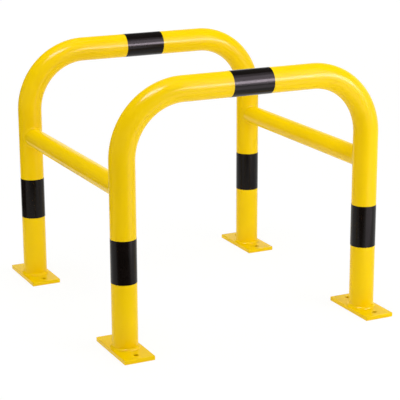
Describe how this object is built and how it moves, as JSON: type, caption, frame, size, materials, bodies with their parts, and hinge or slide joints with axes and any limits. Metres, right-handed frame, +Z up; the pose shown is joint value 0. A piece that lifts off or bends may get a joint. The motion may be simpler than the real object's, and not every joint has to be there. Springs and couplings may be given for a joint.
{
  "type": "column protector",
  "caption": "Welded round-tube guard that stands round a building column: bent tube hoops on bolted foot plates, joined by cross tubes, powder coated with dark film bands.",
  "frame": {"origin": "on the floor, at the middle of the space that the column fills", "axes": "+Z up; +X along the hoops, to the right seen from the front; +Y from the front hoop to the rear hoop, along the foot plates"},
  "size_m": [0.709, 0.776, 0.6267],
  "materials": {
    "yellow_coat": "satin gloss powder coat over steel",
    "black_film": "glossy self-adhesive film"
  },
  "bodies": {
    "root": {"hoop_front": "yellow_coat", "hoop_rear": "yellow_coat", "cross_tube_left": "yellow_coat", "cross_tube_right": "yellow_coat", "foot_plate_front_left": "yellow_coat", "foot_plate_front_right": "yellow_coat", "foot_plate_rear_left": "yellow_coat", "foot_plate_rear_right": "yellow_coat", "foot_weld_front_left": "yellow_coat", "foot_weld_front_right": "yellow_coat", "foot_weld_rear_left": "yellow_coat", "foot_weld_rear_right": "yellow_coat", "rail_weld_front_left": "yellow_coat", "rail_weld_front_right": "yellow_coat", "rail_weld_rear_left": "yellow_coat", "rail_weld_rear_right": "yellow_coat", "band_front_left_leg": "black_film", "band_front_right_leg": "black_film", "band_rear_left_leg": "black_film", "band_rear_right_leg": "black_film", "band_front_top": "black_film", "band_rear_top": "black_film"}
  },
  "joints": []
}
